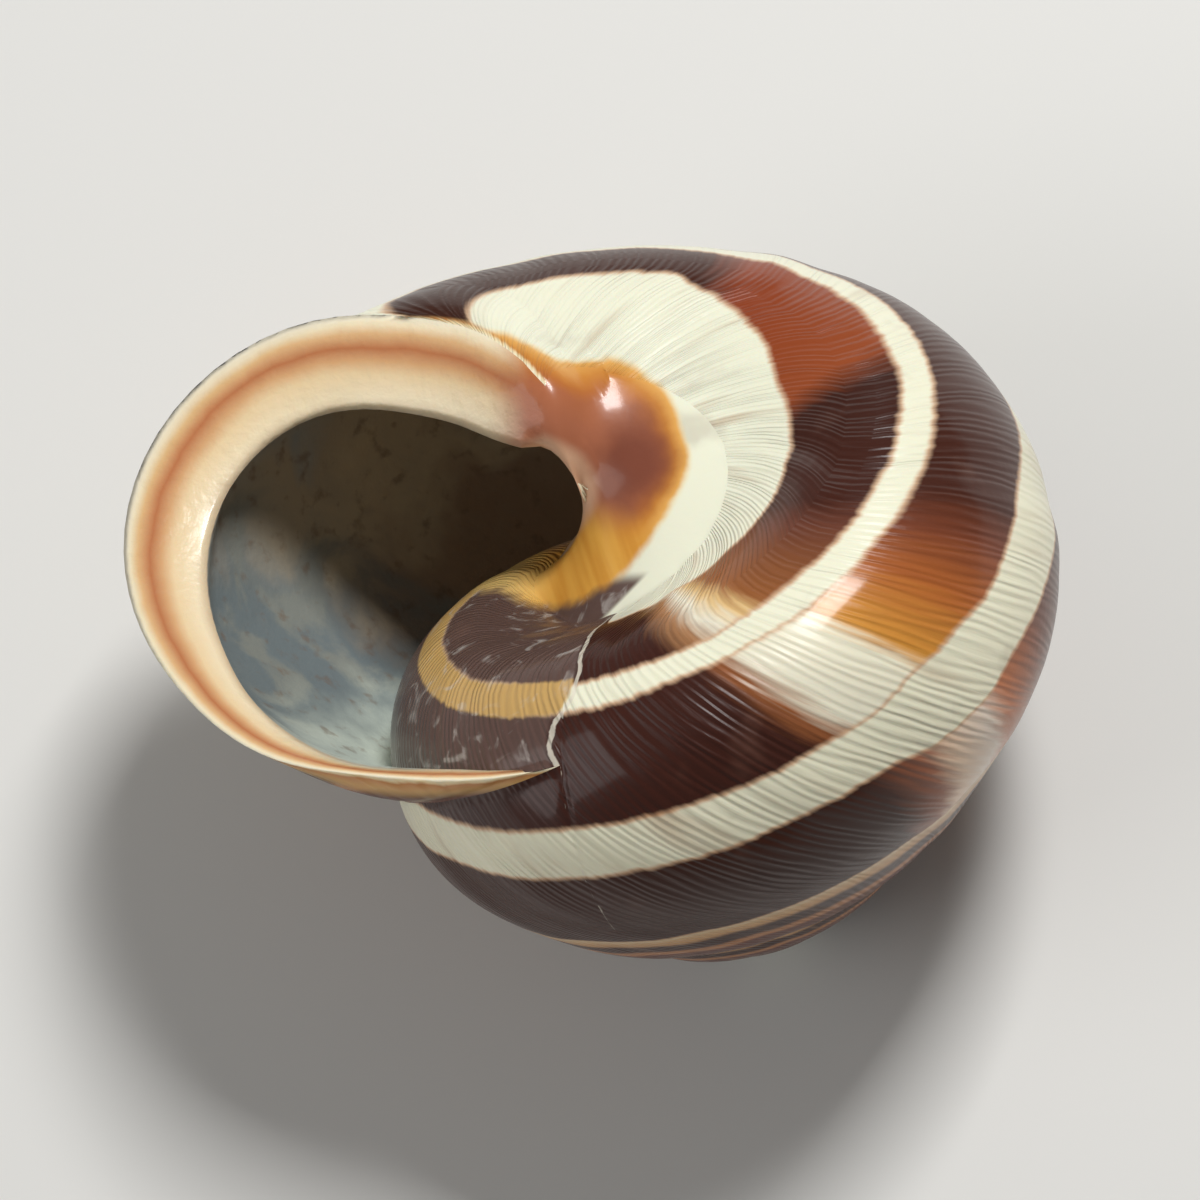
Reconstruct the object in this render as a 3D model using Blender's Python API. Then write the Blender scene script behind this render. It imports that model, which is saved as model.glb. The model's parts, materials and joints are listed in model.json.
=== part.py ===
"""A land snail's shell: a right-handed spiral of about five whorls with a wide mouth and a turned-back lip.

The tube's section grows by the same factor with each turn, so every whorl is a scaled copy of the next. In
its last half turn the tube sinks towards the base, and the mouth closes it off along a slanting plane.
Lengths inside the functions are in section radii, and the last step turns them into metres. Each point has a
growth angle, which runs along the tube and is 0 near the mouth, and a section angle, which runs round the
tube: -90 degrees faces the apex, 0 faces outwards and 90 faces the base.
"""

from math import atan2, ceil, log, pi, radians

import bmesh
import bpy
import numpy as np
from mathutils import Matrix

# Size and spiral
SECTION_RADIUS = 0.0085  # mean radius of the tube's section at the mouth, in metres
WHORL_GROWTH = 1.599  # size of each whorl over the one before it
TURNS_ABOVE = 4  # turns of the spire above the last whorl
SECTION_CENTRE = (1.004, 1.859)  # from the axis, and from the apex towards the base
# The section's outline as a few waves round a circle of radius 1
SECTION_COSINES = (-0.084, -0.049, -0.009, 0.015)
SECTION_SINES = (0.108, 0.077, 0.013, -0.021)

# The apex is blunt, and the last half turn sinks towards the base
DOME = 0.14  # how far the apex is sunk
DOME_SPREAD = 0.25  # section radius by which that has mostly gone
SINK_START = radians(-60)
SINK_STEADY = radians(-10)
SINK_SLOPE = 0.47  # section radii per radian, once steady

# The wall and the hollow
WALL = 0.085  # thickness
HOLLOW_START = radians(-400)  # the hollow ends here, a turn behind the mouth
HOLLOW_EDGE = radians(131)  # section angle where the hollow meets the wall round the axis
AXIS_BULGE = 0.05  # how far that wall swells away from the axis
AXIS_ROWS = 5
BASE_FILL = 0.2  # the base is filled towards the axis by this much
BASE_FILL_START = radians(95)
BASE_FILL_RUN = radians(38)  # section angle in which it reaches that much

# Where the whorl inside the mouth meets the wall round the axis and the pad: growth angles, then section angles
WHORL_EDGES = (
    (-470, -435, -412, -398, -385, -374, -360, -334, -290),
    (133, 110, 84, 88, 95, 103, 110, 115, 117),
)

# The brink, where the pad turns down into the hollow, is a curve from the lip to the whorl inside the mouth
BRINK_GROWTH = radians(-412)  # growth angle at which it meets that whorl
BRINK_MIDDLE = (0.093, 0.228, -1.962)  # the curve bends towards this point, in section radii
BRINK_RUN = radians(50)  # growth in which the wall round the axis takes the brink's form

# The pad of shell over the axis
PAD_EDGE = radians(119)  # section angle where the last whorl's base meets the pad
PAD_RUN = radians(70)  # growth in which that edge moves there from the axis wall's
PAD_RINGS = 4
PAD_SWELL = 0.03  # how far its middle rises
FILM_SAMPLES = 1024  # round the edge of the film that fills it

# The mouth: the lip meets the whorl before it at this point, and lies in a plane through it
INSERTION = (radians(-290), radians(48.9))
MOUTH_NORMAL = (0.139, -0.442, -0.886)
MOUTH_CENTRE = (-1.0, 0.95)  # from the insertion, sideways and towards the base, in the plane
NECK_DEPTH = 0.22  # the lip starts this far behind the plane
THROAT_DEPTH = 0.40  # and its inner face ends this far behind it
DEPTH_BY_AXIS = 0.3  # both depths shrink to this share of themselves by the axis

# The lip: angles in degrees and radii round the mouth's centre
RIM_ANGLES = (-43.5, -69.5, -100, -138, -175, -216, -252, -285, -313, -331)
RIM_RADII = (1.379, 1.01, 0.845, 0.785, 0.89, 1.095, 1.132, 1.06, 1.15, 1.26)
EDGE_ANGLES = (-43.5, -58, -73, -97, -130, -151, -192, -220, -249, -282, -301, -319, -331)
EDGE_RADII = (1.318, 1.033, 0.889, 0.731, 0.607, 0.58, 0.656, 0.739, 0.763, 0.702, 0.71, 0.768, 0.88)
EDGE_DEPTH = 0.10  # the mouth's inner edge lies this far behind the plane
FACE_RISE = 0.04  # how much the lip's face swells
LIP_STEPS = 3

# By the axis the lip fades into the pad, and the hollow's wall is pulled to the columella
FADE_START = 0.8  # share of the way round the lip
RIDGE_RISE = 0.3  # height of the ridge's control point
RIDGE_PLACE = 0.3  # share of the way from the lip's back to the hollow
COLUMELLA_TOP = (-334.5, 0.89, -0.2)  # angle, radius and height from the mouth's plane
HOLLOW_DIP = 0.3  # behind it, the walls of the hollow keep deeper than the pad
COLUMELLA_RUN = radians(60)  # growth in which the wall is pulled there

# How finely the shell is divided
GROWTH_STEP = radians(7.5)
SECTION_STEP = radians(11)
SEAM_STEP = radians(5)

# How it lies: mouth up, on the side of the last whorl
REST_DOWN = (0.0478, 0.6311, 0.7742)  # this way faces the floor
REST_RIGHT = (-0.962, -0.040, 0.272)  # this way becomes +X

COLOUR = (0.42, 0.30, 0.22, 1.0)
ROUGHNESS = 0.3

TURN = 2 * pi
RATE = log(WHORL_GROWTH) / TURN


def section(angle, inset=0.0):
    """The tube's outline in the half-plane through the axis: distance from the axis, and depth below the apex."""
    angle = np.asarray(angle, float)
    radius = np.ones_like(angle)
    slope = np.zeros_like(angle)
    for order, (cosine, sine) in enumerate(zip(SECTION_COSINES, SECTION_SINES), start=1):
        radius += cosine * np.cos(order * angle) + sine * np.sin(order * angle)
        slope += order * (sine * np.cos(order * angle) - cosine * np.sin(order * angle))
    out = SECTION_CENTRE[0] + radius * np.cos(angle)
    down = SECTION_CENTRE[1] + radius * np.sin(angle)
    along_out = slope * np.cos(angle) - radius * np.sin(angle)
    along_down = slope * np.sin(angle) + radius * np.cos(angle)
    length = np.hypot(along_out, along_down)
    down = down + BASE_FILL * (np.maximum(angle - BASE_FILL_START, 0) / BASE_FILL_RUN) ** 2
    return out - inset * along_down / length, down + inset * along_out / length


def sink(growth):
    """How far the tube lies below a true spiral cone: at the blunt apex, and in the last half turn."""
    growth = np.asarray(growth, float)
    dome = DOME * np.exp(-((np.exp(RATE * growth) / DOME_SPREAD) ** 2))
    past = np.maximum(growth - SINK_START, 0)
    bend = SINK_STEADY - SINK_START
    return dome + SINK_SLOPE * np.where(past < bend, past**2 / (2 * bend), past - bend / 2)


def half_plane(growth, angle, inset=0.0):
    """Distance from the axis and depth below the apex of a point of the tube."""
    size = np.exp(RATE * np.asarray(growth, float))
    out, down = section(angle, inset)
    return size * out, size * down + sink(growth)


def place(growth, out, down):
    return np.stack([out * np.cos(growth), -out * np.sin(growth), -down], axis=-1)


def tube(growth, angle, inset=0.0):
    """Points of the tube's outer face, or of its inner face with an inset."""
    growth, angle = np.broadcast_arrays(np.asarray(growth, float), np.asarray(angle, float))
    return place(growth, *half_plane(growth, angle, inset))


def seams(growths, inset=0.0):
    """Section angles where the tube meets the whorl before it: on the tube, and on that whorl."""
    found = []
    guess = np.radians([-88.0, -32.0])
    first = min(-TURN, min(growths))
    steps = np.linspace(first, max(growths), 2 + ceil((max(growths) - first) / SEAM_STEP))
    for growth in sorted(set(steps) | set(growths)):
        for _ in range(12):
            gap = seam_gap(growth, guess, inset)
            change = np.array([seam_gap(growth, guess + step, inset) - gap for step in np.eye(2) * 1e-6]) / 1e-6
            guess = guess - np.linalg.solve(change.T, gap)
        found.append((growth, *guess))
    table = {growth: (new, old) for growth, new, old in found}
    return np.array([table[growth] for growth in growths])


def seam_gap(growth, angles, inset):
    new = np.array(half_plane(growth, angles[0], inset))
    old = np.array(half_plane(growth - TURN, angles[1]))
    return new - old


def spline(knots, values, at):
    """A natural cubic spline through a few hand-set values."""
    knots, values = np.asarray(knots, float), np.asarray(values, float)
    order = np.argsort(knots)
    knots, values = knots[order], values[order]
    gaps = np.diff(knots)
    count = len(knots)
    system = np.eye(count)
    right = np.zeros(count)
    for i in range(1, count - 1):
        system[i, i - 1 : i + 2] = gaps[i - 1], 2 * (gaps[i - 1] + gaps[i]), gaps[i]
        right[i] = 3 * ((values[i + 1] - values[i]) / gaps[i] - (values[i] - values[i - 1]) / gaps[i - 1])
    bend = np.linalg.solve(system, right)
    at = np.asarray(at, float)
    i = np.clip(np.searchsorted(knots, at) - 1, 0, count - 2)
    x = at - knots[i]
    slope = (values[i + 1] - values[i]) / gaps[i] - gaps[i] * (2 * bend[i] + bend[i + 1]) / 3
    return values[i] + slope * x + bend[i] * x**2 + (bend[i + 1] - bend[i]) / (3 * gaps[i]) * x**3


class Mouth:
    """The slanting plane of the mouth, with positions in it as sideways, towards the base and height."""

    def __init__(self):
        self.origin = tube(*INSERTION)
        self.normal = np.array(MOUTH_NORMAL) / np.linalg.norm(MOUTH_NORMAL)
        base_way = np.array([0, 0, -1.0])
        base_way -= base_way @ self.normal * self.normal
        self.base_way = base_way / np.linalg.norm(base_way)
        self.side_way = np.cross(self.base_way, self.normal)

    def height(self, points):
        return (points - self.origin) @ self.normal

    def polar(self, points):
        """Angle in degrees and distance from the mouth's centre, in the plane."""
        side = (points - self.origin) @ self.side_way - MOUTH_CENTRE[0]
        base = (points - self.origin) @ self.base_way - MOUTH_CENTRE[1]
        angle = np.degrees(np.arctan2(base, side))
        return np.where(angle > -20, angle - 360, angle), np.hypot(side, base)

    def point(self, angle, distance, height):
        angle = np.radians(angle)[..., None]
        distance = np.asarray(distance)[..., None]
        side = MOUTH_CENTRE[0] + distance * np.cos(angle)
        base = MOUTH_CENTRE[1] + distance * np.sin(angle)
        return self.origin + side * self.side_way + base * self.base_way + np.asarray(height)[..., None] * self.normal


MOUTH = Mouth()


def seam_at_depth(depth, inset):
    """Growth angle where the seam comes within this depth of the mouth's plane."""
    low, high = radians(-20), INSERTION[0] + TURN
    for _ in range(30):
        middle = (low + high) / 2
        new, _ = seams([middle], inset)[0]
        if MOUTH.height(tube(middle, new, inset)) < -depth:
            low = middle
        else:
            high = middle
    return (low + high) / 2


def crossing(angles, depth, inset):
    """For each section angle, the growth angle where the tube comes within a depth of the mouth's plane."""
    depths = np.linspace(depth, depth * DEPTH_BY_AXIS, len(angles))
    growths = np.linspace(radians(-200), INSERTION[0] + TURN + radians(20), 1600)
    heights = MOUTH.height(tube(growths[:, None], np.asarray(angles)[None, :], inset)) + depths
    found = []
    for column in heights.T:
        last = np.nonzero((column[:-1] < 0) & (column[1:] >= 0))[0][0]
        part = column[last] / (column[last] - column[last + 1])
        found.append(growths[last] + part * (growths[last + 1] - growths[last]))
    return np.array(found)


def ahead(growths, angles):
    """The way the tube grows, scaled to come nearer to the mouth's plane by one radius."""
    way = tube(growths + 0.01, angles) - tube(growths, angles)
    rise = np.maximum(way @ MOUTH.normal, 0.3 * np.linalg.norm(way, axis=1))
    return way / rise[:, None]


def slant_ramp(growth, end):
    """0 where the growth lines are straight, a turn behind the mouth, and 1 at the mouth."""
    return eased((growth - INSERTION[0]) / (end - INSERTION[0]))


def eased(part):
    part = np.clip(part, 0, 1)
    return part * part * (3 - 2 * part)


class Surface:
    """Points and triangles, made from columns of points that are joined side by side."""

    def __init__(self):
        self.points = []
        self.faces = []
        self.count = 0

    def column(self, points):
        points = np.atleast_2d(points)
        self.points.append(points)
        self.count += len(points)
        return np.arange(self.count - len(points), self.count)

    def zip(self, left, right):
        """Triangles between two columns, which may have different numbers of points."""
        i = j = 0
        while i < len(left) - 1 or j < len(right) - 1:
            next_left = (i + 1) / (len(left) - 1) if i < len(left) - 1 else 2
            next_right = (j + 1) / (len(right) - 1) if j < len(right) - 1 else 2
            if next_left <= next_right:
                self.faces.append((left[i], right[j], left[i + 1]))
                i += 1
            else:
                self.faces.append((left[i], right[j], right[j + 1]))
                j += 1

    def sheet(self, columns):
        made = [self.column(points) for points in columns]
        for left, right in zip(made, made[1:]):
            self.zip(left, right)

    def membrane(self, loop, rings=1, swell=0.0):
        """Fills a closed loop of points with rings round a middle point, as smooth as a soap film."""
        loop = np.array(loop)
        steps = np.linalg.norm(np.roll(loop, -1, axis=0) - loop, axis=1)
        bearings = TURN * np.concatenate([[0], np.cumsum(steps)]) / steps.sum()
        even = np.linspace(0, TURN, FILM_SAMPLES, endpoint=False)
        samples = [np.interp(even, bearings, np.append(part, part[0])) for part in loop.T]
        waves = np.fft.rfft(samples).T[:-1] / FILM_SAMPLES
        orders = np.arange(len(waves))
        turns = np.exp(1j * np.outer(bearings[:-1], orders)) * np.where(orders, 2, 1)
        made = [self.column(loop)]
        for ring in range(1, rings + 1):
            part = ring / (rings + 1)
            skin = (turns @ (waves * (1 - part) ** orders[:, None])).real
            made.append(self.column(skin + swell * np.sin(part * pi / 2) ** 2 * MOUTH.normal))
        centre = self.column(waves[0].real + swell * MOUTH.normal)
        for outer, inner in zip(made, made[1:]):
            self.zip(np.append(outer, outer[0]), np.append(inner, inner[0]))
        for a, b in zip(made[-1], np.roll(made[-1], -1)):
            self.faces.append((a, b, centre[0]))


def spread(low, high, step):
    return np.linspace(low, high, 1 + max(2, ceil((high - low) / step)))


def lip(neck, forward, throat, outer_seam, inner_seam):
    """Columns of the lip: its back up to the rim, the rim's edge, and its face down to the throat."""
    angles, _ = MOUTH.polar(neck)
    along = (angles - angles[0]) / (angles[-1] - angles[0])
    rim_angles = RIM_ANGLES[0] + along * (RIM_ANGLES[-1] - RIM_ANGLES[0])
    rim = MOUTH.point(rim_angles, spline(RIM_ANGLES, RIM_RADII, rim_angles), np.zeros(len(neck)))
    edge = MOUTH.point(rim_angles, spline(EDGE_ANGLES, EDGE_RADII, rim_angles), np.full(len(neck), -EDGE_DEPTH))
    backs = [curve(neck, neck + forward, rim, part) for part in spread(0, 1, 1 / LIP_STEPS)[1:-1]]
    facing = rim + (edge - rim) * 0.5 + MOUTH.normal * FACE_RISE
    fronts = [curve(rim, facing, edge, part) for part in spread(0, 1, 1 / LIP_STEPS)[1:]]
    fronts += [edge + (throat - edge) * part for part in spread(0, 1, 1 / 2)[1:-1]]
    fade_into_pad([neck] + backs + [rim] + fronts[:LIP_STEPS], along)
    rim[0] = tube(*INSERTION)
    back_seams = [blend_pair(outer_seam, INSERTION, part) for part in np.linspace(0, 1, len(backs) + 2)[1:-1]]
    front_seams = [blend_pair(INSERTION, inner_seam, part) for part in np.linspace(0, 1, len(fronts) + 2)[1:-1]]
    for column, seam in zip(backs + fronts, back_seams + front_seams):
        column[0] = tube(*seam)
    return backs, rim, fronts, back_seams, front_seams


def fade_into_pad(columns, along):
    """Near the axis the lip sinks into a low ridge, from the neck to the throat, that the pad joins."""
    low, high = columns[0][-1], columns[-1][-1].copy()
    top = low + (high - low) * RIDGE_PLACE + RIDGE_RISE * MOUTH.normal
    weight = eased((along - FADE_START) / (1 - FADE_START))[:, None]
    for order, column in enumerate(columns[1:-1], start=1):
        ridge = curve(low, top, high, order / (len(columns) - 1))
        column += weight * (ridge - column[-1])


def blend_pair(start, end, part):
    return start[0] + (end[0] - start[0]) * part, start[1] + (end[1] - start[1]) * part


def curve(start, middle, end, part):
    return start * (1 - part) ** 2 + middle * 2 * part * (1 - part) + end * part**2


def dip_behind(part):
    """How much deeper the hollow's walls lie, from 0 at the brink to 1 where the dip ends."""
    part = np.clip(part, 0, 1)
    return HOLLOW_DIP * np.sqrt(part) * (1 - part) ** 2


def around_axis(start, end, parts):
    """Points from start to end that keep to a curved wall round the axis."""
    first = atan2(-start[1], start[0])
    last = atan2(-end[1], end[0])
    while last - first > pi:
        last -= TURN
    while last - first < -pi:
        last += TURN
    radii = np.hypot(*start[:2]), np.hypot(*end[:2])
    angle = first + (last - first) * parts
    bulge = 1 + AXIS_BULGE * np.sin(pi * parts) * abs(last - first)
    return place(angle, (radii[0] + (radii[1] - radii[0]) * parts) * bulge, -(start[2] + (end[2] - start[2]) * parts))


def shell_surface():
    shell = Surface()
    neck_end = seam_at_depth(NECK_DEPTH, 0.0)
    throat_end = seam_at_depth(THROAT_DEPTH, WALL)
    first = INSERTION[0]
    body = spread(first, neck_end, GROWTH_STEP)
    inner_body = spread(first, throat_end, GROWTH_STEP)
    body_seams = seams(body)
    inner_seams = seams(inner_body, WALL)

    # The neck and the throat, where the tube ends and the lip starts
    low = body_seams[-1][0]
    neck_angles = spread(low, PAD_EDGE, SECTION_STEP)
    neck_growths = crossing(neck_angles, NECK_DEPTH, 0.0)
    neck_growths[0] = neck_end
    quotient = (neck_angles - low) / (PAD_EDGE - low)
    neck = tube(neck_growths, neck_angles)
    forward = NECK_DEPTH / 2 * ahead(neck_growths, neck_angles)
    inner_low = inner_seams[-1][0]
    throat_angles = np.linspace(inner_low, HOLLOW_EDGE, len(neck_angles))
    throat_growths = crossing(throat_angles, THROAT_DEPTH, WALL)
    throat_growths[0] = throat_end
    throat = tube(throat_growths, throat_angles, WALL)
    by_axis = eased((quotient - FADE_START) / (1 - FADE_START))[:, None]
    pull = by_axis * (MOUTH.point(*np.array(COLUMELLA_TOP)[:, None])[0] - throat[-1])
    throat = throat + pull

    outer_seam = (neck_end - TURN, body_seams[-1][1])
    inner_seam = (throat_end - TURN, inner_seams[-1][1])
    backs, rim, fronts, back_seams, front_seams = lip(neck, forward, throat, outer_seam, inner_seam)

    # The edge of the last whorl on the whorl before it: growth angles there, and section angles
    edge = [(growth - TURN, old) for growth, (_, old) in zip(body[1:], body_seams[1:])]
    edge += back_seams + [INSERTION]
    turn_growths = np.array([growth for growth, _ in edge])
    turn_highs = np.array([angle for _, angle in edge])

    # Whorls above the last one
    growths = np.concatenate([turn_growths - turn * TURN for turn in range(TURNS_ABOVE - 1, -1, -1)])
    highs = np.concatenate([seams(list(growths[: -len(edge)] + TURN))[:, 1], turn_highs])
    lows = seams(list(growths))[:, 0]
    spire = [tube(growth, spread(*ends, SECTION_STEP)) for growth, *ends in zip(growths, lows, highs)]
    shell.sheet(spire)

    # The wall inside the mouth that is the outside of the whorl before
    inner_growths = list(spread(HOLLOW_START, first, GROWTH_STEP)[:-1]) + list(inner_body)
    inner_pairs = seams(inner_growths, WALL)
    parietal = [(growth - TURN, old) for growth, (_, old) in zip(inner_growths, inner_pairs)]
    parietal += front_seams[::-1] + [INSERTION]
    tops = np.radians(np.interp(np.degrees([growth for growth, _ in parietal]), *WHORL_EDGES))
    parietal_columns = [
        tube(growth, spread(low_angle, top, SECTION_STEP)) for (growth, low_angle), top in zip(parietal, tops)
    ]
    shell.sheet(parietal_columns)

    # The last whorl's outside
    columns = [np.concatenate([spire[-1], parietal_columns[-1][1:]])]
    for growth, (new, _) in zip(body[1:-1], body_seams[1:-1]):
        high = tops[-1] + (PAD_EDGE - tops[-1]) * eased((growth - first) / PAD_RUN)
        angles = new + (high - new) * quotient
        slant = slant_ramp(growth, neck_end) * (neck_growths - neck_end)
        columns.append(tube(growth + slant, angles))
    columns += [neck] + backs + [rim]
    shell.sheet(columns)

    # The hollow's outer wall, and the lip's face
    inner_columns = []
    quotient = np.linspace(0, 1, len(throat_angles))
    for growth, (new, _) in zip(inner_growths[:-1], inner_pairs[:-1]):
        angles = new + (HOLLOW_EDGE - new) * quotient
        slant = slant_ramp(growth, throat_end) * (throat_growths - throat_end)
        near = eased(1 - (throat_end - growth) / COLUMELLA_RUN)
        dip = dip_behind((throat_end - growth) / COLUMELLA_RUN) * by_axis * MOUTH.normal
        inner_columns.append(tube(growth + slant, angles, WALL) + near * pull - dip)
    inner_columns += [throat] + fronts[::-1] + [rim]
    shell.sheet(inner_columns)

    # The wall round the axis, inside the hollow, which ends in the brink
    parts = np.linspace(0, 1, AXIS_ROWS)
    stop = int(np.argmin([abs(growth - BRINK_GROWTH) for growth, _ in parietal]))
    axis_columns = []
    for order, growth in enumerate(inner_growths):
        start, end = inner_columns[order][-1], parietal_columns[min(order, stop)][-1]
        brink = curve(start, np.array(BRINK_MIDDLE), end, parts[:, None])
        wall = around_axis(start, end, parts)
        near = max(0, 1 - (throat_end - growth) / BRINK_RUN) ** 2
        dip = dip_behind((throat_end - growth) / BRINK_RUN) * np.sin(pi * parts[:, None]) * MOUTH.normal
        axis_columns.append(wall + near * (brink - wall) - dip)
    shell.sheet(axis_columns)

    # The pad over the axis, the hollow's end and the apex
    pad = [column[-1] for column in columns] + [column[-1] for column in fronts]
    pad += list(axis_columns[-1]) + [column[-1] for column in parietal_columns[stop + 1 : -1]]
    shell.membrane(pad, PAD_RINGS, PAD_SWELL)
    shell.sheet([inner_columns[0], np.concatenate([parietal_columns[0], axis_columns[0][-2::-1]])])
    count = len(turn_growths)
    apex = [column[0] for column in spire[: count + 1]] + list(spire[0][::-1][1:-1])
    shell.membrane(apex, 1)
    return shell


def resting():
    """Turns the shell to lie mouth up, with REST_DOWN facing the floor."""
    up = -np.array(REST_DOWN) / np.linalg.norm(REST_DOWN)
    right = np.array(REST_RIGHT) - np.array(REST_RIGHT) @ up * up
    right /= np.linalg.norm(right)
    return np.array([right, np.cross(up, right), up])


def material():
    made = bpy.data.materials.new("shell")
    made.use_nodes = True
    shader = made.node_tree.nodes["Principled BSDF"]
    shader.inputs["Base Color"].default_value = COLOUR
    shader.inputs["Roughness"].default_value = ROUGHNESS
    return made


def build():
    for old in list(bpy.data.objects):
        bpy.data.objects.remove(old, do_unlink=True)
    shell = shell_surface()
    turn = resting()
    points = np.concatenate(shell.points) * SECTION_RADIUS @ turn.T
    low, high = points.min(axis=0), points.max(axis=0)
    origin = np.array([*(low + high)[:2] / 2, low[2]])
    mesh = bpy.data.meshes.new("shell")
    mesh.from_pydata((points - origin) @ turn, [], [tuple(map(int, face)) for face in shell.faces])
    mesh.materials.append(material())
    shape = bmesh.new()
    shape.from_mesh(mesh)
    bmesh.ops.remove_doubles(shape, verts=shape.verts, dist=1e-6)
    bmesh.ops.recalc_face_normals(shape, faces=shape.faces)
    shape.to_mesh(mesh)
    shape.free()
    result = bpy.data.objects.new("shell", mesh)
    result.matrix_world = Matrix(turn.tolist()).to_4x4()
    collection = bpy.data.collections.new("land snail shell")
    bpy.context.scene.collection.children.link(collection)
    collection.objects.link(result)


build()
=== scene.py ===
"""The looks of a land snail's shell: the same spiral surface as the CAD solid, finely divided, with its
growth ribs, its dark bands, its turned-back lip and its glaze, on a pale floor.

Lengths in the shell's own functions are in section radii. Each point has a growth angle, which runs along the
tube and is 0 near the mouth, and a section angle, which runs round the tube: -90 degrees faces the apex, 0
faces outwards and 90 faces the base.
"""

import functools
import json
from math import atan2, ceil, log, pi, radians

import bmesh
import bpy
import numpy as np
from mathutils import Matrix, Vector

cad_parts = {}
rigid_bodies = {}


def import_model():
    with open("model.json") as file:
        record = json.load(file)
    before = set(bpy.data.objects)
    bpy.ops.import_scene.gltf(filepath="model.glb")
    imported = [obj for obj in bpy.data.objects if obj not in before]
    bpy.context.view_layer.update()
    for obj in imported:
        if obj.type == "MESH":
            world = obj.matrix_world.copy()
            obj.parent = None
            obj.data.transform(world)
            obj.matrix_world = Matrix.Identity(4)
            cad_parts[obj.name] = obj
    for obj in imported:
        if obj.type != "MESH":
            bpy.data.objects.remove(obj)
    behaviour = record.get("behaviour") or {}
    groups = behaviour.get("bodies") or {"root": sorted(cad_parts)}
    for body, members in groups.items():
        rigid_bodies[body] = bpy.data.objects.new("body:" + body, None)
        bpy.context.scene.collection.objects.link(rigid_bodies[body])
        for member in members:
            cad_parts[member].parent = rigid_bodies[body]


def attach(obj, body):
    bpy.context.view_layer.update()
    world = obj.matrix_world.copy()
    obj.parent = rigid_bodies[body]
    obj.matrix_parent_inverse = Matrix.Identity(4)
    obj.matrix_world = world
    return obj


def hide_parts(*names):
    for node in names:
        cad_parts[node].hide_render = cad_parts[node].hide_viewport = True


# Size and spiral
SECTION_RADIUS = 0.0085  # mean radius of the tube's section at the mouth, in metres
WHORL_GROWTH = 1.599  # size of each whorl over the one before it
TURNS_ABOVE = 4  # turns of the spire above the last whorl
SECTION_CENTRE = (1.004, 1.859)  # from the axis, and from the apex towards the base
# The section's outline as a few waves round a circle of radius 1
SECTION_COSINES = (-0.084, -0.049, -0.009, 0.015)
SECTION_SINES = (0.108, 0.077, 0.013, -0.021)

# The apex is blunt, and the last half turn sinks towards the base
DOME = 0.14  # how far the apex is sunk
DOME_SPREAD = 0.25  # section radius by which that has mostly gone
SINK_START = radians(-60)
SINK_STEADY = radians(-10)
SINK_SLOPE = 0.47  # section radii per radian, once steady

# The wall and the hollow
WALL = 0.085  # thickness
HOLLOW_START = radians(-400)  # the hollow ends here, a turn behind the mouth
HOLLOW_EDGE = radians(131)  # section angle where the hollow meets the wall round the axis
AXIS_BULGE = 0.05  # how far that wall swells away from the axis
AXIS_ROWS = 14
BASE_FILL = 0.2  # the base is filled towards the axis by this much
BASE_FILL_START = radians(95)
BASE_FILL_RUN = radians(38)  # section angle in which it reaches that much

# The brink, where the pad turns down into the hollow, is a curve from the lip to the whorl inside the mouth
BRINK_GROWTH = radians(-412)  # growth angle at which it meets that whorl
BRINK_MIDDLE = (-0.67, 1.67, 0.85)  # how far right, up and towards the camera's side
BRINK_COLUMNS = 7  # this many of its last columns take the callus's colours
BRINK_RUN = radians(50)  # growth in which the wall round the axis takes the brink's form

# Where the whorl inside the mouth meets the axis's wall and the pad: growth angles, then section angles
WHORL_EDGES = (
    (-470, -435, -412, -398, -385, -374, -360, -334, -290),
    (133, 110, 84, 88, 95, 103, 110, 115, 117),
)

# The pad of shell over the axis
PAD_EDGE = radians(119)  # section angle where the last whorl's base meets the pad
PAD_RUN = radians(70)  # growth in which that edge moves there from the last of WHORL_EDGES
PAD_RINGS = 26
PAD_SWELL = 0.03  # how far its middle rises
FILM_SAMPLES = 1024  # round the edge of the film that fills it

# The mouth: the lip meets the whorl before it at this point, and lies in a plane through it
INSERTION = (radians(-290), radians(48.9))
MOUTH_NORMAL = (0.139, -0.442, -0.886)
MOUTH_CENTRE = (-1.0, 0.95)  # from the insertion, sideways and towards the base, in the plane
MOUTH_CUT = -20  # angles in degrees round the mouth run down from here
NECK_DEPTH = 0.22  # the lip starts this far behind the plane
THROAT_DEPTH = 0.40  # and its inner face ends this far behind it
DEPTH_BY_AXIS = 0.3  # both depths shrink to this share of themselves by the axis

# The lip: angles in degrees and radii round the mouth's centre
RIM_ANGLES = (-43.5, -69.5, -100, -138, -175, -216, -252, -285, -313, -331)
RIM_RADII = (1.379, 1.01, 0.845, 0.785, 0.89, 1.095, 1.132, 1.06, 1.15, 1.26)
EDGE_ANGLES = (-43.5, -58, -73, -97, -130, -151, -192, -220, -249, -282, -301, -319, -331)
EDGE_RADII = (1.318, 1.033, 0.889, 0.731, 0.607, 0.58, 0.656, 0.739, 0.763, 0.702, 0.71, 0.768, 0.88)
EDGE_DEPTH = 0.10  # the mouth's inner edge lies this far behind the plane
FACE_RISE = 0.04  # how much the lip's face swells
LIP_STEPS = 12

# By the axis the lip fades into the pad, and the hollow's wall is pulled to the columella
FADE_START = 0.8  # share of the way round the lip
RIDGE_RISE = 0.3  # height of the ridge's control point
RIDGE_PLACE = 0.3  # share of the way from the lip's back to the hollow
COLUMELLA_TOP = (-334.5, 0.89, -0.2)  # angle, radius and height from the mouth's plane
HOLLOW_DIP = 0.3  # behind it, the walls of the hollow keep deeper than the pad
COLUMELLA_RUN = radians(60)  # growth in which the wall is pulled there

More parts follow.
